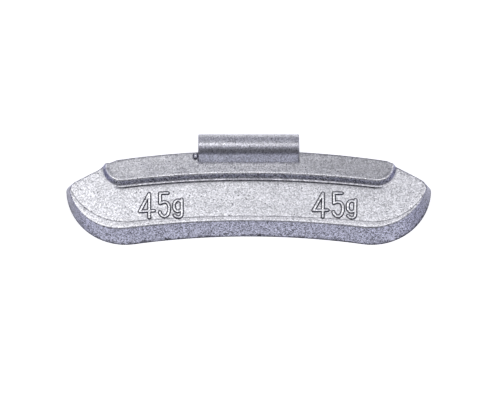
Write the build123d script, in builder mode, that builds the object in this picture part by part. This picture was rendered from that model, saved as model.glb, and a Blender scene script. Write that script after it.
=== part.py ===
from build123d import *
from math import cos, radians, sin, sqrt, tan
import os

# A knock-on balance weight for the steel rim of a car wheel, in millimetres. It lies on its flat
# back: +Z points out of its face, +X runs along it and +Y points away from the wheel's axis.
# The origin is on the flat back, about halfway between its two curved edges.

# Place on the wheel
axis_distance = 183.0  # from the wheel's axis, which runs along Z, to the origin
inner_radius = 177.0  # lower edge of the flat back, about the wheel's axis
outer_radius = 195.3  # upper edge of the casting, about the wheel's axis

# Plan of the casting's back
half_length = 41.0
back_end_radius = 13.6
tip_rise = 4.4  # height of the two tips above the origin
tip_rounding = 2.0
shoulder_half = 29.8  # the upper edge is round to here, then slopes down to the tips
shoulder_bulge = 0.45  # the slope bows out by this much

# Plan of the casting's face, which the draft of the mould makes smaller than the back
face_lower_draft = 1.9
face_lower_radius = 215.0
face_end_draft = 0.7
left_end_radius = 11.7
right_end_radius = 13.5
face_rounding = 0.35

# Levels of the face above the flat back
panel_level = 4.9
band_level = 6.2

# Border strip along the face's lower edge and round its ends, a little below the panel
border_drop = 0.15
border_width = 1.25  # at the middle of the length
border_radius = 264.0
border_end_radius = 13.5
border_reach = 41.1  # how far out the strip's round ends would come

# Raised band over the stem of the clip
band_half = 32.3
band_depth = 5.5  # from the casting's upper edge down to the band's own lower edge
band_lower_radius = 225.0
band_corner_radius = 3.0
band_wall_angle = 30.0  # how far its wall leans out from upright
band_rounding = 0.25
band_foot_rise = 0.25  # the foot of the wall runs out flatter, from this height
band_foot_reach = 0.45

# Hollow along the upper edge of the back, where the curl of the rim's flange nests
nest_radius = 4.2

# Clip of spring strip
clip_width = 22.8
strip_thickness = 1.1
strip_edge_rounding = 0.2
knuckle_inner_radius = 1.25
knuckle_drop = 1.78  # from the band's level down to the knuckle's centre
lip_clearance = 0.79  # from the casting's upper edge up to the knuckle's inside
knuckle_over = 124.0  # degrees from the strip's crest to the start of the tail
roof_length = 1.05  # straight stretch between the crown and the knuckle
roof_fall = 10.0  # degrees that it slopes back
crown_under = 45.0  # degrees from the strip's crest forward to the fold
fold_inner_radius = 0.65
stem_lean = 18.0  # degrees that the stem leans forward
stem_depth = 13.0  # from the casting's upper edge down to the stem's foot
foot_chamfer = 1.5
lock_hole_radius = 1.8
lock_hole_spacing = 11.4
lock_hole_rise = 4.0  # from the stem's foot up to the centres of the holes
window_depth = 3.0  # bare stretch of the stem below the casting's upper edge
tail_lift = 0.5  # from the plane of the back up to the tail's end
flare_radius = 1.5
flare_angle = 35.0

trim_allowance = 1.0  # how far a shape is drawn past the surface that trims it

top_edge = outer_radius - axis_distance
back_low = inner_radius - axis_distance
face_low = back_low + face_lower_draft
wheel_axis = Axis((0, -axis_distance, 0), (0, 0, 1))


def mirrored(point):
    return (-point[0], point[1])


def end_centre(low_point, low_radius, reach, radius):
    """Centre of the right-hand round end that touches the lower arc and comes out to reach."""
    across = reach - radius
    return (across, low_point - low_radius + sqrt((low_radius + radius) ** 2 - across**2))


def end_start(low_point, low_radius, reach, radius):
    """The point where the right-hand round end leaves the lower arc."""
    across, height = end_centre(low_point, low_radius, reach, radius)
    share = low_radius / (low_radius + radius)
    arc_centre = low_point - low_radius
    return (across * share, arc_centre + (height - arc_centre) * share)


def end_tip(low_point, low_radius, reach, radius):
    """The tip where the right-hand round end meets the sloping shoulder."""
    across, height = end_centre(low_point, low_radius, reach, radius)
    return (across + sqrt(radius**2 - (height - tip_rise) ** 2), tip_rise)


def casting_plan(level, low_point, low_radius, reach, left_radius, right_radius):
    """Outline of the casting at one level: lower arc, round ends, shoulders and upper arc."""
    left_start = mirrored(end_start(low_point, low_radius, reach, left_radius))
    right_start = end_start(low_point, low_radius, reach, right_radius)
    left_tip = mirrored(end_tip(low_point, low_radius, reach, left_radius))
    right_tip = end_tip(low_point, low_radius, reach, right_radius)
    shoulder = (shoulder_half, sqrt(outer_radius**2 - shoulder_half**2) - axis_distance)
    with BuildSketch(Plane.XY.offset(level)) as outline:
        with BuildLine():
            ThreePointArc(left_start, (0, low_point), right_start)
            RadiusArc(right_start, right_tip, -right_radius)
            SagittaArc(right_tip, shoulder, -shoulder_bulge)
            ThreePointArc(shoulder, (0, top_edge), mirrored(shoulder))
            SagittaArc(mirrored(shoulder), left_tip, -shoulder_bulge)
            RadiusArc(left_tip, left_start, -left_radius)
        make_face()
        across = outline.vertices().sort_by(Axis.X)
        fillet([across[0], across[-1]], radius=tip_rounding)
    return outline.sketch


def band_plan(level, spread):
    """Outline of the raised band at one level, closed above the casting's upper edge."""
    half = band_half + spread
    low = top_edge - band_depth - spread
    side_low = low - band_lower_radius + sqrt(band_lower_radius**2 - half**2)
    above = top_edge + trim_allowance
    with BuildSketch(Plane.XY.offset(level)) as outline:
        with BuildLine():
            ThreePointArc((-half, side_low), (0, low), (half, side_low))
            Polyline((half, side_low), (half, above), (-half, above), (-half, side_low))
        make_face()
        corners = outline.vertices().group_by(Axis.Y)[0]
        fillet(corners, radius=band_corner_radius + spread)
    return outline.sketch


back_plan = casting_plan(0, back_low, inner_radius, half_length, back_end_radius, back_end_radius)
face_plan = casting_plan(
    panel_level,
    face_low,
    face_lower_radius,
    half_length - face_end_draft,
    left_end_radius,
    right_end_radius,
)

# The strip's centre line, in the plane across the weight: the stem, a fold, the crown, a short
# roof, the knuckle that hooks over the lip of the rim, and the tail with its flared end
half_strip = strip_thickness / 2
knuckle_centre = (top_edge + lip_clearance + knuckle_inner_radius, band_level - knuckle_drop)
knuckle_bend = knuckle_inner_radius + half_strip
fold_bend = fold_inner_radius + half_strip
tail_angle = radians(knuckle_over)
flare_fall = flare_radius * (cos(tail_angle - radians(flare_angle)) - cos(tail_angle))
with BuildLine(Plane.YZ) as strip_line:
    knuckle = CenterArc(knuckle_centre, knuckle_bend, 90 - roof_fall, roof_fall - knuckle_over)
    roof = PolarLine(knuckle @ 0, roof_length, angle=180 - roof_fall)
    crown = JernArc(roof @ 1, roof % 1, knuckle_bend, roof_fall + crown_under)
    fold = JernArc(crown @ 1, crown % 1, fold_bend, stem_lean - crown_under)
    stem_length = ((fold @ 1).Y - top_edge + stem_depth) / cos(radians(stem_lean))
    stem = PolarLine(fold @ 1, stem_length, angle=180 + stem_lean)
    tail_length = ((knuckle @ 1).Z - flare_fall - tail_lift) / sin(tail_angle)
    tail = PolarLine(knuckle @ 1, tail_length, angle=-knuckle_over)
    JernArc(tail @ 1, tail % 1, flare_radius, flare_angle)


def in_section(point):
    """Place of a point in the plane across the weight."""
    return (point.Y, point.Z)


# Spring clip: one strip of steel, punched with two holes near its foot and bent to shape
foot_plane = Plane(origin=stem @ 1, x_dir=(1, 0, 0), z_dir=(stem % 0).cross(Vector(1, 0, 0)))
with BuildPart() as spring_clip:
    with BuildSketch(Plane(origin=stem @ 1, x_dir=(1, 0, 0), z_dir=-(stem % 1))):
        RectangleRounded(clip_width, strip_thickness, strip_edge_rounding)
    sweep(path=strip_line.line)
    with BuildSketch(foot_plane):
        with Locations((0, lock_hole_rise)):
            with GridLocations(lock_hole_spacing, 0, 2, 1):
                Circle(lock_hole_radius)
        with GridLocations(clip_width, 0, 2, 1):
            Rectangle(foot_chamfer * sqrt(2), foot_chamfer * sqrt(2), rotation=45)
    extrude(amount=strip_thickness, both=True, mode=Mode.SUBTRACT)

# Raised band, trimmed to the outline of the casting
with BuildPart() as raised_band:
    foot_level = panel_level + band_foot_rise
    wall_spread = (band_level - foot_level) * tan(radians(band_wall_angle))
    band_foot = band_plan(panel_level, wall_spread + band_foot_reach)
    loft([band_foot, band_plan(foot_level, wall_spread), band_plan(band_level, 0)], ruled=True)
    own_edge = raised_band.edges().filter_by_position(Axis.Z, band_level, band_level)
    fillet(own_edge.filter_by_position(Axis.Y, -top_edge, top_edge), radius=band_rounding)
    extrude(back_plan, amount=2 * band_level, mode=Mode.INTERSECT)

# Casting: poured round the clip's stem, so it has the stem's shape inside it and a plug in each
# of the two holes
with BuildPart() as weight_body:
    loft([back_plan, face_plan], ruled=True)
    face_edges = weight_body.edges().filter_by_position(Axis.Z, panel_level, panel_level)
    fillet(face_edges, radius=face_rounding)
    # The border strip lies outside the panel, whose edge runs past the casting at the tips
    panel_low = face_low + border_width
    panel_start = end_start(panel_low, border_radius, border_reach, border_end_radius)
    panel_side = (border_reach, end_centre(panel_low, border_radius, border_reach, border_end_radius)[1])
    with BuildSketch(Plane.XY.offset(panel_level - border_drop)):
        Rectangle(3 * half_length, 3 * half_length)
        with BuildLine():
            ThreePointArc(mirrored(panel_start), (0, panel_low), panel_start)
            RadiusArc(panel_start, panel_side, -border_end_radius)
            panel_top = (border_reach, half_length)
            Polyline(panel_side, panel_top, mirrored(panel_top), mirrored(panel_side))
            RadiusArc(mirrored(panel_side), mirrored(panel_start), -border_end_radius)
        make_face(mode=Mode.SUBTRACT)
    extrude(amount=2 * border_drop, mode=Mode.SUBTRACT)
    add(raised_band.part)
    # The curl of the flange lies round the whole rim, so the hollow for it is turned about the wheel
    with BuildSketch(Plane.YZ):
        with Locations((top_edge, 0)):
            Rectangle(2 * nest_radius, 2 * nest_radius)
        with Locations((top_edge - nest_radius, nest_radius)):
            Circle(nest_radius, mode=Mode.SUBTRACT)
    revolve(axis=wheel_axis, mode=Mode.SUBTRACT)
    # The window in front of the bare stem follows the strip's centre line
    window_drop = (fold @ 1).Y - top_edge + window_depth
    window_foot = (fold @ 1) + (stem % 0) * (window_drop / cos(radians(stem_lean)))
    with BuildSketch(Plane.YZ) as window_profile:
        with BuildLine():
            Line(in_section(window_foot), in_section(fold @ 1))
            ThreePointArc(in_section(fold @ 1), in_section(fold @ 0.5), in_section(fold @ 0))
            window_front = (fold @ 0).Z + trim_allowance
            Polyline(
                in_section(fold @ 0),
                ((fold @ 0).Y + trim_allowance, window_front),
                (window_foot.Y, window_front),
                in_section(window_foot),
            )
        make_face()
    extrude(amount=clip_width / 2, both=True, mode=Mode.SUBTRACT)
    add(spring_clip.part, mode=Mode.SUBTRACT)
os.makedirs("parts", exist_ok=True)
spring_clip.part.label = "spring_clip"
export_step(spring_clip.part, "parts/spring_clip.step")
weight_body.part.label = "weight_body"
export_step(weight_body.part, "parts/weight_body.step")
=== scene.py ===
import math

import bpy
import numpy as np
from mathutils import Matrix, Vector
from mathutils.geometry import delaunay_2d_cdt


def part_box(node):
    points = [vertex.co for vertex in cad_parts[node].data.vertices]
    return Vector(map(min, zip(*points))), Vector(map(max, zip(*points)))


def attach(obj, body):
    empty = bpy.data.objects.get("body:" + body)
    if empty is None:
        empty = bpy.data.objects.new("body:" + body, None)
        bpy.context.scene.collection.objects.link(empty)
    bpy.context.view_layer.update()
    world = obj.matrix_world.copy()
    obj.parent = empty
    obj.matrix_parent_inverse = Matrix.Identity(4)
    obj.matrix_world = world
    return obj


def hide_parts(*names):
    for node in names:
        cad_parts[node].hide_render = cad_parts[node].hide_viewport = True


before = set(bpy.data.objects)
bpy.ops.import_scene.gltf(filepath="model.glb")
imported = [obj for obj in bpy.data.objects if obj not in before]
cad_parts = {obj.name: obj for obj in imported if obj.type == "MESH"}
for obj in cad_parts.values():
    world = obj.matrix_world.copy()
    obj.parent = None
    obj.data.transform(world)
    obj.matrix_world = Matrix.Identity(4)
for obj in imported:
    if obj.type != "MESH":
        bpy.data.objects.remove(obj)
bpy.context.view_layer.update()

# Spring clip: one strip of spring steel, rolled over at the top to grip the lip of the rim, and
# painted silver. Its lower end is laid in the mould, so it leans down into the casting.
axis_distance = 0.183  # from the wheel's axis to the middle of the flat back
outer_radius = 0.1953
top_edge = outer_radius - axis_distance
band_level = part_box("weight_body")[1][2]
strip_width = 0.0228
strip_thickness = 0.0011
strip_edge_rounding = 0.0002
knuckle_bend = 0.0018  # bends are measured to the middle of the strip
fold_bend = 0.0024
knuckle_centre = np.array([top_edge + 0.00204, band_level - 0.00178])  # across and up
knuckle_over = math.radians(124)
roof_length = 0.00105
roof_fall = math.radians(10)
roof_crown = math.radians(10)
crown_under = math.radians(45)
stem_lean = math.radians(18)
stem_depth = 0.0130
foot_chamfer = 0.0015
lock_hole_radius = 0.0018
lock_hole_spacing = 0.0114
lock_hole_rise = 0.0040
tail_lift = 0.0005
flare_radius = 0.0015
flare_angle = math.radians(35)
bend_steps = 16  # points along each radian of a bend
run_step = 0.0007  # between the points of a straight stretch


def bend(start, heading, radius, turn):
    """Points round a bend of the strip, to the left where the turn is above zero."""
    side = math.copysign(1, turn)
    centre = start + side * radius * np.array([-math.sin(heading), math.cos(heading)])
    steps = math.ceil(abs(turn) * bend_steps)
    angles = heading - side * math.pi / 2 + np.linspace(0, turn, steps + 1)[1:]
    return centre + radius * np.stack([np.cos(angles), np.sin(angles)], 1)


def straight(start, heading, length):
    """Points along a straight stretch of the strip."""
    along = np.linspace(0, length, math.ceil(length / run_step) + 1)[1:, None]
    return start + along * (math.cos(heading), math.sin(heading))


first_fall = roof_fall + roof_crown / 2
last_fall = roof_fall - roof_crown / 2
first = knuckle_centre + knuckle_bend * np.array([math.sin(first_fall), math.cos(first_fall)])
roof = bend(first, math.pi - first_fall, roof_length / roof_crown, roof_crown)
crown = bend(roof[-1], math.pi - last_fall, knuckle_bend, last_fall + crown_under)
fold = bend(crown[-1], math.pi + crown_under, fold_bend, stem_lean - crown_under)
stem_start = fold[-1]
stem_length = (stem_start[0] - top_edge + stem_depth) / math.cos(stem_lean)
stem = straight(stem_start, math.pi + stem_lean, stem_length)
knuckle = bend(first, -first_fall, knuckle_bend, first_fall - knuckle_over)
flare_fall = flare_radius * (math.cos(knuckle_over - flare_angle) - math.cos(knuckle_over))
tail_length = (knuckle[-1][1] - flare_fall - tail_lift) / math.sin(knuckle_over)
tail = straight(knuckle[-1], -knuckle_over, tail_length)
flare = bend(tail[-1], -knuckle_over, flare_radius, flare_angle)
from_foot = [run[::-1] for run in (stem, fold, crown, roof)]
strip_line = np.concatenate(from_foot + [[first], knuckle, tail, flare])
foot = stem[-1]


def wire(tree, kind, sockets=None, **options):
    """Adds a node, sets its options, and sets or links its inputs."""
    made = tree.nodes.new(kind)
    for key, value in options.items():
        setattr(made, key, value)
    for key, value in (sockets or {}).items():
        if isinstance(value, bpy.types.NodeSocket):
            tree.links.new(value, made.inputs[key])
        else:
            made.inputs[key].default_value = value
    return made


def calc(tree, operation, *values, clamp=False):
    """One step of arithmetic between numbers or sockets."""
    made = wire(tree, "ShaderNodeMath", dict(enumerate(values)), operation=operation, use_clamp=clamp)
    return made.outputs[0]


def rolled_strip_tree():
    """Rolls a flat strip along a line, rounds its edges, and punches its foot."""
    tree = bpy.data.node_groups.new("rolled_strip", "GeometryNodeTree")
    face = tree.interface
    face.new_socket("Geometry", in_out="INPUT", socket_type="NodeSocketGeometry")
    for label in (
        "Width", "Thickness", "Edge rounding", "Hole radius",
        "Hole spacing", "Hole rise", "Foot chamfer", "Lean",
    ):
        face.new_socket(label, in_out="INPUT", socket_type="NodeSocketFloat")
    face.new_socket("Foot", in_out="INPUT", socket_type="NodeSocketVector")
    face.new_socket("Material", in_out="INPUT", socket_type="NodeSocketMaterial")
    face.new_socket("Geometry", in_out="OUTPUT", socket_type="NodeSocketGeometry")
    given = wire(tree, "NodeGroupInput").outputs
    sideways = {"Curve": given["Geometry"], "Normal": (1, 0, 0)}
    across = wire(tree, "GeometryNodeSetCurveNormal", sideways, mode="FREE")
    flat_size = {"Width": given["Width"], "Height": given["Thickness"]}
    flat = wire(tree, "GeometryNodeCurvePrimitiveQuadrilateral", flat_size)
    easing = {"Curve": flat.outputs[0], "Radius": given["Edge rounding"], "Count": 4}
    eased = wire(tree, "GeometryNodeFilletCurve", easing, mode="POLY")
    rolling = {"Curve": across.outputs[0], "Profile Curve": eased.outputs[0], "Fill Caps": True}
    rolled = wire(tree, "GeometryNodeCurveToMesh", rolling)

    # Punches, laid out on the flat foot and then leaned with it
    depth = calc(tree, "MULTIPLY", given["Thickness"], 3.0)
    half_spacing = calc(tree, "MULTIPLY", given["Hole spacing"], 0.5)
    half_width = calc(tree, "MULTIPLY", given["Width"], 0.5)
    side = calc(tree, "MULTIPLY", given["Foot chamfer"], math.sqrt(2))
    punch_size = {"Vertices": 40, "Radius": given["Hole radius"], "Depth": depth}
    punch = wire(tree, "GeometryNodeMeshCylinder", punch_size).outputs[0]
    block_size = wire(tree, "ShaderNodeCombineXYZ", {0: side, 1: side, 2: depth}).outputs[0]
    block = wire(tree, "GeometryNodeMeshCube", {"Size": block_size}).outputs[0]
    punches = wire(tree, "GeometryNodeJoinGeometry")
    for sign in (-1.0, 1.0):
        hole_x = calc(tree, "MULTIPLY", half_spacing, sign)
        hole_place = wire(tree, "ShaderNodeCombineXYZ", {0: hole_x, 1: given["Hole rise"]}).outputs[0]
        hole = {"Geometry": punch, "Translation": hole_place}
        corner_x = calc(tree, "MULTIPLY", half_width, sign)
        corner_place = wire(tree, "ShaderNodeCombineXYZ", {0: corner_x}).outputs[0]
        corner = {"Geometry": block, "Translation": corner_place, "Rotation": (0, 0, math.pi / 4)}
        for cut in (hole, corner):
            placed = wire(tree, "GeometryNodeTransform", cut)
            tree.links.new(placed.outputs[0], punches.inputs[0])
    lean = wire(tree, "ShaderNodeCombineXYZ", {0: given["Lean"]}).outputs[0]
    leaning = {"Geometry": punches.outputs[0], "Rotation": lean, "Translation": given["Foot"]}
    leaned = wire(tree, "GeometryNodeTransform", leaning)
    cutting = {"Mesh 1": rolled.outputs[0], "Mesh 2": leaned.outputs[0]}
    punched = wire(tree, "GeometryNodeMeshBoolean", cutting, operation="DIFFERENCE")
    real = wire(tree, "GeometryNodeRealizeInstances", {0: punched.outputs[0]})
    coating = {"Geometry": real.outputs[0], "Material": given["Material"]}
    coated = wire(tree, "GeometryNodeSetMaterial", coating)
    wire(tree, "NodeGroupOutput", {0: coated.outputs[0]})
    return tree


def between(tree, value, low, high, start=0.0, end=1.0):
    """Follows a value smoothly from one level to another, and stays there."""
    sockets = {"Value": value, "From Min": low, "From Max": high, "To Min": start, "To Max": end}
    return wire(tree, "ShaderNodeMapRange", sockets, interpolation_type="SMOOTHSTEP").outputs[0]


def blend(tree, share, first_colour, second_colour, mode="MIX"):
    """Mixes two colours."""
    made = wire(tree, "ShaderNodeMix", data_type="RGBA", blend_type=mode)
    inputs = (("Factor_Float", share), ("A_Color", first_colour), ("B_Color", second_colour))
    for identifier, value in inputs:
        socket = next(s for s in made.inputs if s.identifier == identifier)
        if isinstance(value, bpy.types.NodeSocket):
            tree.links.new(value, socket)
        else:
            socket.default_value = value
    return next(s for s in made.outputs if s.identifier == "Result_Color")


def noise(tree, place, density, detail, roughness):
    """Soft random clouds, this many to the metre."""
    sockets = {"Vector": place, "Scale": density, "Detail": detail, "Roughness": roughness}
    return wire(tree, "ShaderNodeTexNoise", sockets).outputs[0]


def three_parts(tree, vector):
    """The three parts of a vector."""
    return wire(tree, "ShaderNodeSeparateXYZ", {0: vector}).outputs


def raised(tree, height, distance, under=None, inward=False):
    """Raises the surface with a height, or sinks it, on top of what raised it before."""
    sockets = {"Height": height, "Strength": 1.0, "Distance": distance}
    if under is not None:
        sockets["Normal"] = under
    return wire(tree, "ShaderNodeBump", sockets, invert=inward).outputs[0]


def shader_group(name, inputs, outputs):
    """An empty shader group with named inputs and outputs."""
    tree = bpy.data.node_groups.new(name, "ShaderNodeTree")
    kinds = {"V": "NodeSocketVector", "C": "NodeSocketColor", "F": "NodeSocketFloat"}
    for label, kind in inputs.items():
        tree.interface.new_socket(label, in_out="INPUT", socket_type=kinds[kind])
    for label, kind in outputs.items():
        tree.interface.new_socket(label, in_out="OUTPUT", socket_type=kinds[kind])
    return tree, wire(tree, "NodeGroupInput").outputs


# Grain of a silver lacquer: flat flakes that each catch the light a little differently
flake_inputs = {"Place": "V", "Flake size": "F", "Contrast": "F"}
flake_tree, given = shader_group("paint_flake", flake_inputs, {"Shade": "F", "Height": "F"})
density = calc(flake_tree, "DIVIDE", 1.0, given["Flake size"])
cloud = noise(flake_tree, given["Place"], density, 2.0, 0.65)
flakes = wire(flake_tree, "ShaderNodeTexVoronoi", {"Vector": given["Place"], "Scale": density})
one_flake = wire(flake_tree, "ShaderNodeSeparateColor", {0: flakes.outputs["Color"]})
soft_part = calc(flake_tree, "MULTIPLY", cloud, 0.65)
height = calc(flake_tree, "MULTIPLY_ADD", one_flake.outputs[0], 0.35, soft_part)
swing = calc(flake_tree, "MULTIPLY", calc(flake_tree, "SUBTRACT", height, 0.5), given["Contrast"])
wire(flake_tree, "NodeGroupOutput", {"Shade": calc(flake_tree, "ADD", swing, 1.0), "Height": height})

# Pits and specks: small dark spots that the lacquer leaves open
pit_inputs = {"Place": "V", "Spacing": "F", "Share": "F", "Size": "F"}
pit_tree, given = shader_group("open_pits", pit_inputs, {"Mask": "F"})
density = calc(pit_tree, "DIVIDE", 1.0, given["Spacing"])
cells = wire(pit_tree, "ShaderNodeTexVoronoi", {"Vector": given["Place"], "Scale": density})
lot = wire(pit_tree, "ShaderNodeSeparateColor", {0: cells.outputs["Color"]})
chosen = calc(pit_tree, "LESS_THAN", lot.outputs[0], given["Share"])
smallest = calc(pit_tree, "MULTIPLY", given["Size"], 0.5)
reach = calc(pit_tree, "MULTIPLY_ADD", lot.outputs[1], given["Size"], smallest)
spot = between(pit_tree, calc(pit_tree, "DIVIDE", cells.outputs["Distance"], reach), 1.0, 0.45)
wire(pit_tree, "NodeGroupOutput", {"Mask": calc(pit_tree, "MULTIPLY", chosen, spot)})

# Coat: the silver colour on what faces up; painted shade, darker and blue-grey, on what is steep; painted
# shade in the corners, with dirt where the share carries it; and painted highlights along the edges
coat_inputs = {
    "Place": "V", "Full": "C", "Shade and patch colour": "C", "Shade and dirt colour": "C", "Highlight colour": "C",
    "Shaded share": "F", "Shade and dirt": "F", "Edge": "F",
}
coat_tree, given = shader_group("silver_coat", coat_inputs, {"Color": "C", "Roughness": "F"})
patches = noise(coat_tree, given["Place"], 420.0, 3.0, 0.6)
crumbs = noise(coat_tree, given["Place"], 1900.0, 3.0, 0.7)
patchy = calc(coat_tree, "SUBTRACT", patches, 0.5)
# Painted shade: steep faces turn to the darker blue-grey colour, and random patches lean towards it
uneven = calc(coat_tree, "MULTIPLY_ADD", patchy, 0.9, given["Shaded share"])
coated = blend(coat_tree, between(coat_tree, uneven, 0.05, 0.95), given["Full"], given["Shade and patch colour"])
# Painted shade in corners, creases and folds, and dirt on the casting's lower edge, where the share says
shade_and_dirt_grain = between(coat_tree, crumbs, 0.25, 0.58, 0.65, 1.0)
shade_and_dirt_share = calc(coat_tree, "MULTIPLY", given["Shade and dirt"], shade_and_dirt_grain, clamp=True)
shaded_and_dirty = blend(coat_tree, shade_and_dirt_share, coated, given["Shade and dirt colour"])
# Painted highlights along the edges
highlight_grain = between(coat_tree, crumbs, 0.35, 0.6)
highlight_share = calc(coat_tree, "MULTIPLY", given["Edge"], highlight_grain, clamp=True)
painted_highlight = blend(coat_tree, highlight_share, shaded_and_dirty, given["Highlight colour"])
rough = calc(coat_tree, "MULTIPLY_ADD", patches, 0.10, 0.29)
rough = calc(coat_tree, "MULTIPLY_ADD", shade_and_dirt_share, 0.22, rough)
rough = calc(coat_tree, "MULTIPLY_ADD", highlight_share, -0.08, rough)
wire(coat_tree, "NodeGroupOutput", {"Color": painted_highlight, "Roughness": rough})


def grouped(tree, group, sockets):
    """Places a shader group in a material."""
    return wire(tree, "ShaderNodeGroup", sockets, node_tree=group).outputs


# Silver paint on the strip: even and fine-grained, with painted shade, darker and bluer, on steep faces
# and on the stem, painted shade in the fold and at the foot of the window, and a painted highlight along
# the strip's two sides
strip_paint = bpy.data.materials.new("silver_paint_on_spring_steel")
strip_paint.use_nodes = True
tree = strip_paint.node_tree
shader = tree.nodes["Principled BSDF"]
shader.inputs["Metallic"].default_value = 0.92
place = wire(tree, "ShaderNodeTexCoord").outputs
split = three_parts(tree, place["Object"])
upright = three_parts(tree, place["Normal"])["Z"]
# Painted highlight along the strip's two sides
side_edge = between(tree, calc(tree, "ABSOLUTE", split["X"]), 0.01115, 0.01138)
# Painted shade at the foot of the window and in the fold under the crown
foot_of_window = between(tree, split["Y"], top_edge - 0.00235, top_edge - 0.0030)
below_crown = between(tree, split["Y"], 0.0128, 0.0121)
above_stem = between(tree, split["Y"], 0.01115, 0.0117)
turned_up = between(tree, upright, 0.3, 0.5, 0.0, 0.38)
in_fold = calc(tree, "MULTIPLY", calc(tree, "MULTIPLY", below_crown, above_stem), turned_up)
# Painted shade, darker and bluer, on steep faces and on the stem
steep = between(tree, upright, 0.98, 0.3)
on_stem = between(tree, split["Y"], 0.0121, 0.0115, 0.0, 0.85)
flake = grouped(tree, flake_tree, {"Place": place["Object"], "Flake size": 0.00022, "Contrast": 2.2})
pits = grouped(tree, pit_tree, {
    "Place": place["Object"], "Spacing": 0.0010, "Share": 0.30, "Size": 0.17,
})
coat = grouped(tree, coat_tree, {
    "Place": place["Object"],
    "Full": (0.60, 0.60, 0.615, 1),
    "Shade and patch colour": (0.45, 0.46, 0.51, 1),
    "Shade and dirt colour": (0.12, 0.12, 0.13, 1),
    "Highlight colour": (0.72, 0.72, 0.72, 1),
    "Shaded share": calc(tree, "MAXIMUM", steep, on_stem),
    "Shade and dirt": calc(tree, "MAXIMUM", in_fold, calc(tree, "MULTIPLY", foot_of_window, 0.8)),
    "Edge": side_edge,
})
pit_shade = calc(tree, "MULTIPLY_ADD", pits["Mask"], -0.45, 1.0)
shade = calc(tree, "MULTIPLY", flake["Shade"], pit_shade)
shade_colour = wire(tree, "ShaderNodeCombineColor", {0: shade, 1: shade, 2: shade}).outputs[0]
painted = blend(tree, 1.0, coat["Color"], shade_colour, "MULTIPLY")
tree.links.new(painted, shader.inputs["Base Color"])
tree.links.new(calc(tree, "ADD", coat["Roughness"], 0.08), shader.inputs["Roughness"])
waves = noise(tree, place["Object"], 260.0, 2.0, 0.5)
grain_bump = raised(tree, flake["Height"], 0.000032)
wave_bump = raised(tree, waves, 0.00008, under=grain_bump)
tree.links.new(wave_bump, shader.inputs["Normal"])

# The line of the strip, then the strip itself
line_data = bpy.data.curves.new("strip_line", "CURVE")
line_data.dimensions = "3D"
spline = line_data.splines.new("POLY")
spline.points.add(len(strip_line) - 1)
for point, (across, up) in zip(spline.points, strip_line):
    point.co = (0, across, up, 1)
line = bpy.data.objects.new("strip_line", line_data)
bpy.context.scene.collection.objects.link(line)
strip_tree = rolled_strip_tree()
roll = line.modifiers.new("roll", "NODES")
roll.node_group = strip_tree
sizes = {
    "Width": strip_width, "Thickness": strip_thickness, "Edge rounding": strip_edge_rounding,
    "Hole radius": lock_hole_radius, "Hole spacing": lock_hole_spacing, "Hole rise": lock_hole_rise,
    "Foot chamfer": foot_chamfer, "Lean": stem_lean, "Foot": (0.0, float(foot[0]), float(foot[1])),
    "Material": strip_paint,
}
for socket in strip_tree.interface.items_tree:
    if socket.name in sizes:
        roll[socket.identifier] = sizes[socket.name]


def as_mesh(source, name):
    """The evaluated shape as a plain mesh piece in place of its source, smooth up to its sharp edges."""
    evaluated = source.evaluated_get(bpy.context.evaluated_depsgraph_get())
    mesh = bpy.data.meshes.new_from_object(evaluated)
    mesh.name = name
    coats = [coat for coat in mesh.materials if coat]
    mesh.materials.clear()
    for coat in coats:
        mesh.materials.append(coat)
    mesh.polygons.foreach_set("material_index", [0] * len(mesh.polygons))
    bpy.data.objects.remove(source)
    piece = bpy.data.objects.new(name, mesh)
    bpy.context.scene.collection.objects.link(piece)
    mesh.shade_smooth()
    mesh.set_sharp_from_angle(angle=math.radians(38))
    return piece


clip = as_mesh(line, "rolled_clip")
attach(clip, "root")
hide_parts("spring_clip")

# The casting: zinc alloy poured round the clip's stem in a steel mould. Its plan is an arc, its
# walls lean in with the mould's draft, and the face has a border strip, a panel and a raised band.
half_length = 0.0412
back_low = -0.0062
back_low_radius = 0.177
back_end_radius = 0.0136
face_low = -0.0043
face_low_radius = 0.215
left_end_radius = 0.0117
right_end_radius = 0.0135
left_shoulder = (0.0297, 0.00015)  # where it starts, and how far the side beyond it bulges
right_shoulder = (0.0311, 0.00015)
back_tip = (0.0054, 0.0012)  # its height above the origin, and its rounding
left_tip = (0.0042, 0.0026)
right_tip = (0.0046, 0.0022)
tip_fullness = 0.58  # how squarely the tips are rounded
left_reach = 0.0405
right_reach = 0.0406
panel_level = 0.0049
edge_rounding = 0.00028
# An ear of flash that the trimming left on the upper edge, beside the band's left end
ear_place = 0.0323
ear_reach = 0.00040
ear_spread = 0.0009
ear_heading = (0.35, 0.94)
ear_floor = 0.006  # it grows only from the outline above this height

border_width = 0.00125
border_radius = 0.264
border_reach = 0.0411
border_end_radius = 0.0135
border_steps = (-0.00005, 0.00001, 0.00011, 0.00017, 0.00044, 0.00050, 0.00058, 0.00064, 0.0030)  # outwards
border_drops = (0.0, 0.000003, 0.000040, 0.000043, 0.000050, 0.000053, 0.000076, 0.000079, 0.00012)

band_left = 0.0319
band_right = 0.0323
band_depth = 0.0055
band_low_radius = 0.225
left_corner_radius = 0.0040
right_corner_radius = 0.0042
band_shift = 0.00018
band_steps = (
    -0.00042, -0.00020, -0.00008, 0.0, 0.00012, 0.00056,
    0.00070, 0.00106, 0.00116, 0.00128, 0.00142,
)
band_rises = (
    0.00130, 0.00129, 0.00126, 0.00117, 0.00098, 0.00016,
    0.00004, 0.00002, -0.00020, -0.00020, 0.0,
)
band_fall = 0.060  # the band's top slopes down a little towards the casting's upper edge
band_fall_start = 0.0006  # the slope sets in over this distance from the band's edge
foot_fade_start = 0.0038  # before each end of the band, its ledge and groove begin to fade
foot_fade_length = 0.0022

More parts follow.
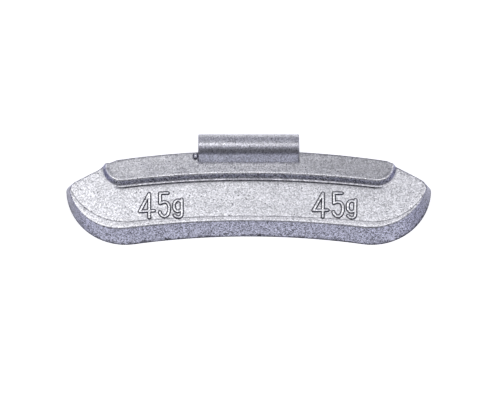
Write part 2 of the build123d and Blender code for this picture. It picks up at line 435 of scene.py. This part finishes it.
window_left = 0.01132
window_right = 0.01125
window_depth = 0.00275
window_corner = 0.00015
window_steps = (0.0, 0.00003, 0.00009, 0.00022)
window_shares = (0.0, 0.84, 0.96, 1.0)  # of the way up from the window's floor to the band
window_lip = 0.00004
window_lip_reach = (0.00022, 0.00085)
window_ragged = ((0.00005, 0.00031, 0), (0.00004, 0.00013, 1))  # waves: height, length, start

# The slow swell of the cast face
swell_height = 0.000018
swell_lengths = (0.003, 0.011)
swell_seed = 3

# A bead of zinc that was squeezed out beside the strip
bead_place = (-0.01196, 0.01100)
bead_reach = (0.00047, 0.00074)
bead_steps = (0.0, 0.45, 0.80, 1.0, 1.20, 1.55)
bead_rises = (0.00034, 0.00030, 0.00013, -0.00010, -0.00010, 0.0)

nest_radius = 0.0042


def arc(centre, radius, start, end, steps):
    """Points along an arc, from one angle to another."""
    angles = np.linspace(start, end, steps)
    return np.stack([centre[0] + radius * np.cos(angles), centre[1] + radius * np.sin(angles)], 1)


def end_circle(low, low_radius, reach, radius):
    """Centre of the round end that touches the lower arc, and the direction of the touch."""
    across = reach - radius
    height = low - low_radius + math.sqrt((low_radius + radius) ** 2 - across ** 2)
    return (across, height), math.atan2(height - low + low_radius, across)


def half_outline(low, low_radius, reach, end_radius, tip_shape, shoulder_shape):
    """From the middle of the lower edge, round the right-hand end, to the middle of the top."""
    tip_rise, tip_rounding = tip_shape
    shoulder_half, shoulder_bulge = shoulder_shape
    centre, touch = end_circle(low, low_radius, reach, end_radius)
    lower = arc((0, low - low_radius), low_radius, math.pi / 2, touch, 120)
    tip_angle = math.asin((tip_rise - centre[1]) / end_radius)
    tip = np.array([centre[0] + end_radius * math.cos(tip_angle), tip_rise])
    shoulder_angle = math.acos(shoulder_half / outer_radius)
    shoulder = np.array([shoulder_half, outer_radius * math.sin(shoulder_angle) - axis_distance])
    slope = (shoulder - tip) / np.linalg.norm(shoulder - tip)
    outward = np.array([slope[1], -slope[0]])
    along = np.linspace(0, 1, 60)[:, None]
    side = tip + (shoulder - tip) * along + outward * shoulder_bulge * 4 * along * (1 - along)
    # The tip's rounding starts this far from the sharp corner, on both sides of it
    turn = math.atan2(slope[1], slope[0]) - (tip_angle + math.pi / 2)
    cut = tip_rounding * math.tan(turn / 2)
    end = arc(centre, end_radius, touch - math.pi, tip_angle - cut / end_radius, 90)
    side = side[np.linalg.norm(side - tip, axis=1) > cut]
    side = np.stack([np.interp(np.linspace(0, 1, 50), np.linspace(0, 1, len(side)), c) for c in side.T], 1)
    into = (end[-1] - end[-2]) / np.linalg.norm(end[-1] - end[-2])
    out = (side[1] - side[0]) / np.linalg.norm(side[1] - side[0])
    s = np.linspace(0, 1, 14)[1:-1, None]
    handle_in = end[-1] + into * cut * tip_fullness
    handle_out = side[0] - out * cut * tip_fullness
    nose = (
        end[-1] * (1 - s) ** 3 + 3 * handle_in * s * (1 - s) ** 2
        + 3 * handle_out * s ** 2 * (1 - s) + side[0] * s ** 3
    )
    upper = arc((0, -axis_distance), outer_radius, shoulder_angle, math.pi / 2, 130)
    return np.concatenate([lower, end[1:], nose, side, upper[1:]])


def with_ear(half):
    """The same half with the ear of flash beside the band's end."""
    grown = ear_reach * np.exp(-((half[:, 0] - ear_place) / ear_spread) ** 2) * (half[:, 1] > ear_floor)
    return half + grown[:, None] * ear_heading


def outline(right, left):
    """The whole outline, anticlockwise, from its two halves."""
    return np.concatenate([right, (left * (-1, 1))[::-1][1:-1]])


def out_of_panel(x, y):
    """Distance from the panel's edge, into the border strip."""
    low_centre = face_low + border_width - border_radius
    centre, touch = end_circle(face_low + border_width, border_radius, border_reach, border_end_radius)
    below = border_radius - np.hypot(x, y - low_centre)
    beyond = np.hypot(np.abs(x) - centre[0], y - centre[1]) - border_end_radius
    return np.where(np.arctan2(y - low_centre, np.abs(x)) > touch, below, beyond)


def out_of_corner(across, along, corner):
    """Distance from an edge that turns a rounded corner."""
    across, along = across + corner, along + corner
    outside = np.hypot(np.maximum(across, 0), np.maximum(along, 0))
    return np.minimum(np.maximum(across, along), 0) + outside - corner


def out_of_band(x, y):
    """Distance from the raised band's own edge."""
    below = band_low_radius - np.hypot(x, y - top_edge + band_depth + band_low_radius)
    half = np.where(x > 0, band_right, band_left)
    corner = np.where(x > 0, right_corner_radius, left_corner_radius)
    return out_of_corner(below, np.abs(x) - half, corner) - band_shift


def past_band_foot(x):
    """How far round the band's ends a place is, where the ledge and the groove fade out."""
    half = np.where(x > 0, band_right, band_left)
    return np.clip((np.abs(x) - half + foot_fade_start) / foot_fade_length, 0, 1)


def out_of_window(x, y):
    """Distance from the edge of the window in front of the clip's bare stem."""
    ragged = sum(height * np.sin(x / length + start) for height, length, start in window_ragged)
    below = top_edge - window_depth + ragged - y
    beyond = np.where(x > 0, x - window_right, -x - window_left)
    return out_of_corner(below, beyond, window_corner)


def out_of_bead(x, y):
    """Distance from the middle of the bead, where its edge is at one."""
    return np.hypot((x - bead_place[0]) / bead_reach[0], (y - bead_place[1]) / bead_reach[1])


# Size marks, cut into the mould with a round-nosed tool, so they stand up from the casting
mark_rise = 0.00022
mark_steps = (0.0, 0.00015, 0.00024, 0.00034, 0.00042)
mark_shares = (1.0, 0.95, 0.80, 0.03, 0.0)
mark_reach = 0.0010  # nothing looks for a stroke further away than this
mark_free = 0.012  # no strokes this near to the middle of the weight


def smooth_line(points, steps=10):
    """A smooth line through the points."""
    p = np.array(points, float)
    p = np.concatenate([[2 * p[0] - p[1]], p, [2 * p[-1] - p[-2]]])
    t = np.linspace(0, 1, steps, endpoint=False)[:, None]
    runs = []
    for a, b, c, d in zip(p, p[1:], p[2:], p[3:]):
        runs.append(0.5 * (
            2 * b + (c - a) * t + (2 * a - 5 * b + 4 * c - d) * t ** 2 + (3 * b - a - 3 * c + d) * t ** 3
        ))
    return np.concatenate(runs + [p[-2:-1]])


# Strokes in millimetres from the lower left corner of each figure
four = [
    [(2.16, 5.70), (0.08, 1.52), (3.28, 1.66)],
    [(2.20, 5.70), (2.20, 0.0)],
]
five = [
    [(1.86, 5.86), (0.10, 5.84), (0.14, 3.40)],
    smooth_line([
        (0.14, 3.40), (1.02, 3.72), (1.80, 3.42), (2.14, 2.65), (2.14, 1.72),
        (1.86, 0.78), (1.24, 0.24), (0.66, 0.38), (0.22, 0.88), (0.06, 1.30),
    ]),
]
gram = [
    smooth_line([
        (1.71, 3.70), (1.10, 4.04), (0.55, 3.98), (0.08, 3.40), (0.0, 2.70),
        (0.12, 1.95), (0.60, 1.46), (1.15, 1.48), (1.71, 1.90),
    ]),
    smooth_line([
        (1.71, 4.31), (1.71, 2.40), (1.71, 0.75), (1.36, 0.10), (0.90, 0.0), (0.42, 0.18), (0.10, 0.52),
    ]),
]
figures = ((four, 0.0), (five, 4.50), (gram, 7.74))
# Left end, foot and turn of each of the two labels
labels = ((-0.02438, -0.00362, math.radians(0.8)), (0.01432, -0.00338, math.radians(-1.6)))
mark_lines = []
for left, foot, turn in labels:
    for strokes, offset in figures:
        for stroke in strokes:
            line = (np.array(stroke) + (offset, 0)) * 0.001
            turned = line @ np.array([[math.cos(turn), math.sin(turn)], [-math.sin(turn), math.cos(turn)]])
            mark_lines.append(turned + (left, foot))
mark_starts = np.concatenate([line[:-1] for line in mark_lines])
mark_ends = np.concatenate([line[1:] for line in mark_lines])


def out_of_marks(x, y):
    """Distance from the middle of the nearest stroke, or a far value away from the labels."""
    p = np.stack([np.atleast_1d(x), np.atleast_1d(y)], 1)
    away = np.full(len(p), mark_reach)
    low = np.minimum(mark_starts, mark_ends).min(0) - mark_reach
    high = np.maximum(mark_starts, mark_ends).max(0) + mark_reach
    near = np.flatnonzero(((p > low) & (p < high)).all(1) & (np.abs(p[:, 0]) > mark_free))
    along = mark_ends - mark_starts
    length = (along ** 2).sum(1)
    for part in np.array_split(near, max(1, len(near) // 4000)):
        gap = p[part, None] - mark_starts
        share = np.clip((gap * along).sum(2) / length, 0, 1)
        nearest = np.hypot(*(gap - along * share[..., None]).transpose(2, 0, 1)).min(1)
        away[part] = np.minimum(nearest, mark_reach)
    return away


def ripple(x, y, shortest, longest, seed):
    """A smooth random swell of 28 waves, about one high at most."""
    draw = np.random.default_rng(seed)
    total = np.zeros_like(x)
    for _ in range(28):
        pitch = draw.uniform(shortest, longest)
        heading = draw.uniform(0, 2 * math.pi)
        phase = draw.uniform(0, 2 * math.pi)
        total += np.sin((x * math.cos(heading) + y * math.sin(heading)) * 2 * math.pi / pitch + phase)
    return total / 8


def face_height(x, y):
    """Height of the casting's face above its flat back."""
    panel = panel_level - np.interp(out_of_panel(x, y), border_steps, border_drops)
    panel += swell_height * ripple(x, y, *swell_lengths, swell_seed)
    marks = mark_rise * np.interp(out_of_marks(x, y), mark_steps, mark_shares)
    band_out = out_of_band(x, y)
    band = np.interp(band_out, band_steps, band_rises)
    band = np.where(band < 0, band * (1 - past_band_foot(x)), band)
    up_the_band = np.clip(y + np.abs(x) ** 2 / (2 * outer_radius) - top_edge + band_depth, 0, None)
    slope = band_fall * up_the_band * np.clip(-band_out / band_fall_start, 0, 1)
    bead = np.interp(out_of_bead(x, y), bead_steps, bead_rises)
    lip = window_lip * np.interp(out_of_window(x, y), window_lip_reach, (1, 0))
    height = panel + marks + band - slope + bead + lip
    floor = stem_start[1] - (stem_start[0] - y) * math.tan(stem_lean)
    share = np.interp(out_of_window(x, y), window_steps, window_shares)
    return floor + (height - floor) * share


def nest_height(x, y):
    """Height of the hollow along the upper edge of the back."""
    reach = np.clip(np.hypot(x, y + axis_distance) - outer_radius + nest_radius, 0, nest_radius)
    return nest_radius - np.sqrt(nest_radius ** 2 - reach ** 2)


def hex_points(low, high, pitch):
    """A triangular grid of points over a rectangle."""
    xs = np.arange(low[0], high[0], pitch)
    ys = np.arange(low[1], high[1], pitch * math.sqrt(0.75))
    x, y = np.meshgrid(xs, ys)
    x[1::2] += pitch / 2
    return np.stack([x.ravel(), y.ravel()], 1)


def onto(field, level, points, pitch):
    """Moves the points that lie near a level of a field onto it."""
    p = points.copy()
    step = 1e-6
    for _ in range(3):
        value = field(*p.T)
        p, value = p[np.abs(value - level) < pitch], value[np.abs(value - level) < pitch]
        slope_x = (field(p[:, 0] + step, p[:, 1]) - value) / step
        slope_y = (field(p[:, 0], p[:, 1] + step) - value) / step
        scale = (level - value) / np.maximum(slope_x ** 2 + slope_y ** 2, 0.25)
        p = p + np.stack([slope_x * scale, slope_y * scale], 1)
    return p[np.abs(field(*p.T) - level) < 2e-6]


def thinned(points, gaps):
    """Leaves out each point that has an earlier one nearer than its gap."""
    kept, cells = [], {}
    size = float(gaps.max())
    for i, (x, y) in enumerate(points.tolist()):
        column, row = int(x // size), int(y // size)
        gap = gaps[i]
        close = False
        for c in (column - 1, column, column + 1):
            for r in (row - 1, row, row + 1):
                for j in cells.get((c, r), ()):
                    dx, dy = points[j, 0] - x, points[j, 1] - y
                    if dx * dx + dy * dy < gap * gap:
                        close = True
                        break
        if not close:
            cells.setdefault((column, row), []).append(i)
            kept.append(i)
    return points[kept]


def inside(points, loop):
    """Which of the points lie inside a closed loop."""
    x, y = points.T
    result = np.zeros(len(points), bool)
    for (ax, ay), (bx, by) in zip(loop, np.roll(loop, -1, 0)):
        if ay != by:
            crosses = (ay > y) != (by > y)
            result ^= crosses & (x < (bx - ax) * (y - ay) / (by - ay) + ax)
    return result


def filled(loop, points):
    """Triangles over the inside of a closed loop, with the points as corners too."""
    corners = np.concatenate([loop, points]) * 1000
    found = delaunay_2d_cdt([Vector(p) for p in corners], [], [list(range(len(loop)))], 1, 1e-6)
    return np.array([tuple(v) for v in found[0]]) / 1000, found[2]


back_loop = outline(
    half_outline(back_low, back_low_radius, half_length, back_end_radius, back_tip, right_shoulder),
    half_outline(back_low, back_low_radius, half_length, back_end_radius, back_tip, left_shoulder),
)
face_loop = outline(
    half_outline(face_low, face_low_radius, right_reach, right_end_radius, right_tip, right_shoulder),
    with_ear(half_outline(face_low, face_low_radius, left_reach, left_end_radius, left_tip, left_shoulder)),
)
ahead = np.roll(face_loop, -1, 0) - np.roll(face_loop, 1, 0)
inward = np.stack([-ahead[:, 1], ahead[:, 0]], 1) / np.linalg.norm(ahead, axis=1)[:, None]
rim_loop = face_loop + inward * edge_rounding

# Rows of points along every step of the mould, then an even fill between them
low, high = rim_loop.min(0), rim_loop.max(0)
coarse = hex_points(low, high, 0.00042)
medium = hex_points(low, high, 0.00016)
seeds = medium[out_of_marks(*medium.T) < mark_reach * 0.9]
fine = hex_points(seeds.min(0), seeds.max(0), 0.00007)
fine = fine[out_of_marks(*fine.T) < 0.0008]
beady = hex_points(np.array(bead_place) - 0.0014, np.array(bead_place) + 0.0014, 0.00009)
rows, gaps = [], []
for field, steps, seed_points, pitch in (
    (out_of_window, window_steps, medium, 0.00016),
    (out_of_band, band_steps, medium, 0.00018),
    (out_of_marks, mark_steps[1:], fine, 0.00009),
    (out_of_panel, border_steps[:-1], medium, 0.00011),
):
    for level in steps:
        row = onto(field, level, seed_points, pitch)
        rows.append(row)
        gaps.append(np.full(len(row), pitch * 0.55))
fills = [
    (fine[out_of_marks(*fine.T) < 0.0006], 0.00008),
    (beady[out_of_bead(*beady.T) < 1.8], 0.00008),
    (medium[(out_of_band(*medium.T) > -0.0007) & (out_of_band(*medium.T) < 0.0018)], 0.00015),
    (coarse, 0.00034),
]
for points, gap in fills:
    rows.append(points)
    gaps.append(np.full(len(points), gap))
rows, gaps = np.concatenate(rows), np.concatenate(gaps)
held = inside(rows, face_loop + inward * (edge_rounding + 0.00012))
face_points = thinned(rows[held], gaps[held])
face_plan, face_triangles = filled(rim_loop, face_points)
face_corners = np.column_stack([face_plan, face_height(*face_plan.T)])

# The back is flat up to the hollow for the curl of the wheel's flange
nest_span = (math.radians(76), math.radians(104))
low, high = back_loop.min(0), back_loop.max(0)
nest_points = [hex_points(low, high, 0.0009)]
for degrees in (12, 24, 36, 48, 60, 70, 78, 85):
    radius = outer_radius - nest_radius + nest_radius * math.sin(math.radians(degrees))
    nest_points.append(arc((0, -axis_distance), radius, *nest_span, 200))
nest_points.append(arc((0, -axis_distance), outer_radius - nest_radius, *nest_span, 120))
nest_points = np.concatenate(nest_points[::-1])
held = inside(nest_points, back_loop * 0.9995)
back_points = thinned(nest_points[held], np.full(held.sum(), 0.00015))
back_plan, back_triangles = filled(back_loop, back_points)
back_corners = np.column_stack([back_plan, nest_height(*back_plan.T)])

# The wall runs straight from the back to the face, whose edge is rounded over
count = len(back_loop)
foot = np.column_stack([back_loop, nest_height(*back_loop.T)])
crest = np.column_stack([face_loop, face_height(*face_loop.T)])
rim = np.column_stack([rim_loop, face_height(*rim_loop.T)])
fall = (foot - crest) / np.linalg.norm(foot - crest, axis=1)[:, None]
lip = crest + fall * edge_rounding
rings = [foot + (lip - foot) * share for share in np.linspace(0, 1, 13)]
for share in (0.25, 0.5, 0.75, 1.0):
    rings.append(lip * (1 - share) ** 2 + 2 * crest * share * (1 - share) + rim * share ** 2)
wall_corners = np.concatenate(rings)
wall_faces = []
for ring in range(len(rings) - 1):
    for i in range(count):
        j = (i + 1) % count
        a = ring * count
        wall_faces.append((a + i, a + j, a + j + count, a + i + count))


def outer_mesh(name, parts):
    """One closed mesh from several lots of corners and faces, welded where they meet."""
    corners = np.concatenate([part[0] for part in parts])
    faces, start = [], 0
    for part_corners, part_faces in parts:
        faces += [tuple(start + i for i in face) for face in part_faces]
        start += len(part_corners)
    mesh = bpy.data.meshes.new(name)
    mesh.from_pydata(corners.tolist(), [], faces)
    shape = bpy.data.objects.new(name, mesh)
    bpy.context.scene.collection.objects.link(shape)
    weld = shape.modifiers.new("weld", "WELD")
    weld.merge_threshold = 1e-6
    bpy.context.view_layer.update()
    return shape


casting = as_mesh(outer_mesh("casting_shape", [
    (face_corners, face_triangles),
    (wall_corners, wall_faces),
    (back_corners, [face[::-1] for face in back_triangles]),
]), "zinc_casting")

# Where shade is painted into grooves, outlines and corners, and where highlights are painted on the
# edges of the band and the ledge and on the tops of the marks, kept on the mesh for the paint
spots = np.empty(len(casting.data.vertices) * 3)
casting.data.vertices.foreach_get("co", spots)
x, y, z = spots.reshape(-1, 3).T
on_face = z > face_height(x, y) - 0.00002
band_out, mark_out = out_of_band(x, y), out_of_marks(x, y)
panel_out, window_out = out_of_panel(x, y), out_of_window(x, y)
turned_end = past_band_foot(x)
# Painted shade: the groove under the band and a soft shadow past it, round the band's ends, the marks and
# the bead, in the border's steps and in the gap at the window; the top edge is darker too
crease_places = (0.00098, 0.00110, 0.00130, 0.00144, 0.00180, 0.00235)
crease = np.interp(band_out, crease_places, (0, 0.82, 0.82, 0.40, 0.20, 0)) * (1 - turned_end)
end_shade = np.interp(band_out, (0.00050, 0.00080, 0.00150), (0, 0.34, 0)) * turned_end
round_marks = np.interp(mark_out, (0.00015, 0.00021, 0.00042, 0.00051), (0, 1, 1, 0))
line_places = (-0.00006, 0.00003, 0.00016, 0.00025, 0.00043, 0.00050, 0.00059, 0.00067)
border_lines = np.interp(panel_out, line_places, (0, 0.62, 0.62, 0.05, 0.03, 0.30, 0.30, 0))
from_top = outer_radius - np.hypot(x, y + axis_distance)
darker_top_edge = np.interp(from_top, (0, 0.00014, 0.00040), (0.75, 0.6, 0)) * (np.abs(x) < right_shoulder[0])
round_bead = np.interp(out_of_bead(x, y), (0.70, 0.95, 1.20, 1.5), (0, 1, 1, 0))
gap = np.interp(window_out, (0.00008, 0.00026), (0.7, 0))
# Painted highlights on the band's edge, on the ledge and on the tops of the marks
band_edge = np.interp(band_out, (-0.00030, -0.00010, 0.00002, 0.00010), (0, 1, 1, 0))
ledge_edge = np.interp(band_out, (0.00070, 0.00080, 0.00100, 0.00108), (0, 0.16, 0.16, 0))
ledge_edge *= 1 - turned_end
mark_top = np.interp(mark_out, (0.00016, 0.00024), (0.8, 0))
painted_shade_spots = (crease, end_shade, round_marks, border_lines, round_bead, gap, darker_top_edge)
painted_highlight_spots = (band_edge, ledge_edge, mark_top)
for name, masks in (("painted_shade", painted_shade_spots), ("painted_highlight", painted_highlight_spots)):
    values = (np.maximum.reduce(masks) * on_face).astype(np.float32)
    casting.data.attributes.new(name, "FLOAT", "POINT").data.foreach_set("value", values)

# Silver paint over the rough casting: grainy on the face, lined and with painted shade on the band,
# mottled on the walls with painted shade, darker and bluer, and with painted contact shadow and dirt
# where the casting stands on its lower edge
casting_paint = bpy.data.materials.new("silver_paint_on_zinc")
casting_paint.use_nodes = True
tree = casting_paint.node_tree
shader = tree.nodes["Principled BSDF"]
shader.inputs["Metallic"].default_value = 0.88
place = wire(tree, "ShaderNodeTexCoord").outputs
split = three_parts(tree, place["Object"])
facing = three_parts(tree, place["Normal"])
painted_shade = wire(tree, "ShaderNodeAttribute", attribute_name="painted_shade").outputs["Fac"]
painted_highlight = wire(tree, "ShaderNodeAttribute", attribute_name="painted_highlight").outputs["Fac"]
steep = between(tree, facing["Z"], 0.93, 0.35)
contrast = calc(tree, "MULTIPLY_ADD", steep, 2.3, 1.9)
flake = grouped(tree, flake_tree, {"Place": place["Object"], "Flake size": 0.00024, "Contrast": contrast})
pits = grouped(tree, pit_tree, {
    "Place": place["Object"], "Spacing": 0.0009, "Share": 0.50, "Size": 0.18,
})

# Lines on the band, about the wheel's axis, from turning the mould
axis_offset = {0: place["Object"], 1: (0, axis_distance, 0)}
from_axis = wire(tree, "ShaderNodeVectorMath", axis_offset, operation="ADD").outputs[0]
across = three_parts(tree, from_axis)
y_squared = calc(tree, "MULTIPLY", across["Y"], across["Y"])
radius = calc(tree, "SQRT", calc(tree, "MULTIPLY_ADD", across["X"], across["X"], y_squared))
turned = calc(tree, "MULTIPLY", calc(tree, "ARCTAN2", across["X"], across["Y"]), 0.012)
line_place = wire(tree, "ShaderNodeCombineXYZ", {0: turned, 1: radius}).outputs[0]
mould_lines = noise(tree, line_place, 3600.0, 2.0, 0.6)
on_band = between(tree, split["Z"], panel_level + 0.0008, panel_level + 0.0011)
line_share = calc(tree, "MULTIPLY", on_band, 0.34)
line_shade = calc(tree, "MULTIPLY_ADD", calc(tree, "SUBTRACT", mould_lines, 0.5), line_share, 1.0)

# Painted contact shadow and dirt along the foot of the walls, in scuffs and then all round
scuffs = noise(tree, place["Object"], 900.0, 4.0, 0.7)
low_wall = between(tree, split["Z"], 0.0013, 0.0002)
low = calc(tree, "MULTIPLY", low_wall, between(tree, scuffs, 0.47, 0.60))
low = calc(tree, "MAXIMUM", low, between(tree, split["Z"], 0.00055, 0.00015, 0.0, 0.85))
# Painted shade on steep faces and from the mesh's masks, painted highlights on the edges
coat = grouped(tree, coat_tree, {
    "Place": place["Object"],
    "Full": (0.64, 0.64, 0.645, 1),
    "Shade and patch colour": (0.35, 0.355, 0.43, 1),
    "Shade and dirt colour": (0.05, 0.05, 0.06, 1),
    "Highlight colour": (0.86, 0.86, 0.85, 1),
    "Shaded share": steep,
    "Shade and dirt": calc(tree, "MAXIMUM", painted_shade, low),
    "Edge": painted_highlight,
})

# Shade of the coat: its grain, pits and lines, painted shade on the band and above all to the right,
# a painted highlight on the band's own wall, and painted shade, bluer, where the walls face along the
# weight
pit_shade = calc(tree, "MULTIPLY_ADD", pits["Mask"], -0.68, 1.0)
shade = calc(tree, "MULTIPLY", flake["Shade"], pit_shade)
shade = calc(tree, "MULTIPLY", shade, line_shade)
# Painted shade on the band, deeper to the right
band_painted_shade = calc(tree, "MULTIPLY", on_band, calc(tree, "SUBTRACT", 1.0, painted_highlight))
band_painted_shade = calc(tree, "MULTIPLY", band_painted_shade, between(tree, split["X"], 0.0, 0.026, -0.02, -0.17))
shade = calc(tree, "MULTIPLY", shade, calc(tree, "ADD", band_painted_shade, 1.0))
# Painted light on the band's own wall
band_wall_painted_light = between(tree, split["Z"], panel_level + 0.00005, panel_level + 0.0003)
band_wall_painted_light = calc(tree, "MULTIPLY", steep, band_wall_painted_light)
shade = calc(tree, "MULTIPLY", shade, calc(tree, "MULTIPLY_ADD", band_wall_painted_light, 0.45, 1.0))
# Painted shade, bluer, where the walls face along the weight
sideways = calc(tree, "ABSOLUTE", facing["X"])
shade = calc(tree, "MULTIPLY", shade, between(tree, sideways, 0.35, 0.90, 1.0, 0.56))
bluer = calc(tree, "MULTIPLY", shade, between(tree, sideways, 0.30, 0.90, 1.0, 1.12))
shade_colour = wire(tree, "ShaderNodeCombineColor", {0: shade, 1: shade, 2: bluer}).outputs[0]
painted = blend(tree, 1.0, coat["Color"], shade_colour, "MULTIPLY")
tree.links.new(painted, shader.inputs["Base Color"])
tree.links.new(coat["Roughness"], shader.inputs["Roughness"])
swell = noise(tree, place["Object"], 700.0, 3.0, 0.55)
grain_bump = raised(tree, flake["Height"], 0.000030)
swell_bump = raised(tree, swell, 0.000045, under=grain_bump)
pit_bump = raised(tree, pits["Mask"], 0.00003, under=swell_bump, inward=True)
tree.links.new(pit_bump, shader.inputs["Normal"])
casting.data.materials.clear()
casting.data.materials.append(casting_paint)
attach(casting, "root")
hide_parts("weight_body")

# Floor: a pale sheet that keeps the weight's shadow, and reads as white to the camera and in what
# the metal reflects
floor_half = 1.5
floor_corners = [(x * floor_half, y * floor_half, 0) for x, y in ((-1, -1), (1, -1), (1, 1), (-1, 1))]
floor_mesh = bpy.data.meshes.new("floor")
floor_mesh.from_pydata(floor_corners, [], [(0, 1, 2, 3)])
floor = bpy.data.objects.new("floor", floor_mesh)
bpy.context.scene.collection.objects.link(floor)
sheet = bpy.data.materials.new("pale_sheet")
sheet.use_nodes = True
tree = sheet.node_tree
base = tree.nodes["Principled BSDF"]
base.inputs["Base Color"].default_value = (0.86, 0.86, 0.86, 1)
base.inputs["Roughness"].default_value = 0.9
base.inputs["Specular IOR Level"].default_value = 0.1
path = wire(tree, "ShaderNodeLightPath").outputs
seen = calc(tree, "MAXIMUM", path["Is Camera Ray"], path["Is Glossy Ray"])
seen = calc(tree, "MAXIMUM", seen, path["Is Transmission Ray"])
glow = wire(tree, "ShaderNodeEmission", {"Color": (0.66, 0.66, 0.66, 1), "Strength": seen})
both = wire(tree, "ShaderNodeAddShader", {0: base.outputs[0], 1: glow.outputs[0]})
tree.links.new(both.outputs[0], tree.nodes["Material Output"].inputs["Surface"])
floor_mesh.materials.append(sheet)

# Light: a dim, slightly blue room, brighter straight above the weight and past its two ends, and
# two soft lamps side by side above it and behind it, which the flat face reflects into the camera
room_levels = (  # from the camera's side to the far side: place, level and share of blue
    (0.03, 0.15, 1.10), (0.20, 0.16, 1.12), (0.36, 0.28, 1.34), (0.50, 0.50, 1.24),
    (0.62, 0.24, 1.28), (0.82, 0.09, 1.50), (0.92, 0.24, 1.50), (1.0, 0.44, 1.38),
)
ends_gain = 0.9
lamps = (  # name, place, width and power
    ("key_left", (-0.165, 0.150, 0.58), 0.30, 0.73),
    ("key_right", (0.205, 0.135, 0.59), 0.26, 0.56),
)
lamp_depth = 0.36
world = bpy.data.worlds.new("studio")
bpy.context.scene.world = world
world.use_nodes = True
tree = world.node_tree
direction = wire(tree, "ShaderNodeTexCoord").outputs["Generated"]
split = three_parts(tree, direction)
room = wire(tree, "ShaderNodeValToRGB", {0: calc(tree, "MULTIPLY_ADD", split["Y"], 0.5, 0.5)})
for position, level, blue in room_levels:
    stop = room.color_ramp.elements.new(position)
    stop.color = (level, level, level * blue, 1)
room.color_ramp.elements.remove(room.color_ramp.elements[0])
room.color_ramp.elements.remove(room.color_ramp.elements[-1])
background = tree.nodes["Background"]
tree.links.new(room.outputs["Color"], background.inputs["Color"])
ends = calc(tree, "MULTIPLY_ADD", calc(tree, "MULTIPLY", split["X"], split["X"]), ends_gain, 1.0)
tree.links.new(ends, background.inputs["Strength"])

for name, lamp_place, width, power in lamps:
    lamp_data = bpy.data.lights.new(name, "AREA")
    lamp_data.shape = "ELLIPSE"
    lamp_data.size = width
    lamp_data.size_y = lamp_depth
    lamp_data.energy = power
    lamp = bpy.data.objects.new(name, lamp_data)
    lamp.location = lamp_place
    lamp.rotation_euler = (-lamp.location).to_track_quat("-Z", "Y").to_euler()
    bpy.context.scene.collection.objects.link(lamp)

# Camera: a long lens above the front of the weight, as in the photograph
camera_data = bpy.data.cameras.new("camera")
camera_data.lens = 200
camera_data.clip_start = 0.01
camera = bpy.data.objects.new("camera", camera_data)
target = Vector((0.00029, 0.00164, 0.0025))
elevation = math.radians(68)
distance = 0.624
camera.location = target + distance * Vector((0, -math.cos(elevation), math.sin(elevation)))
camera.rotation_euler = (target - camera.location).to_track_quat("-Z", "Y").to_euler()
bpy.context.scene.collection.objects.link(camera)
bpy.context.scene.camera = camera

bpy.context.scene.view_settings.view_transform = "Standard"
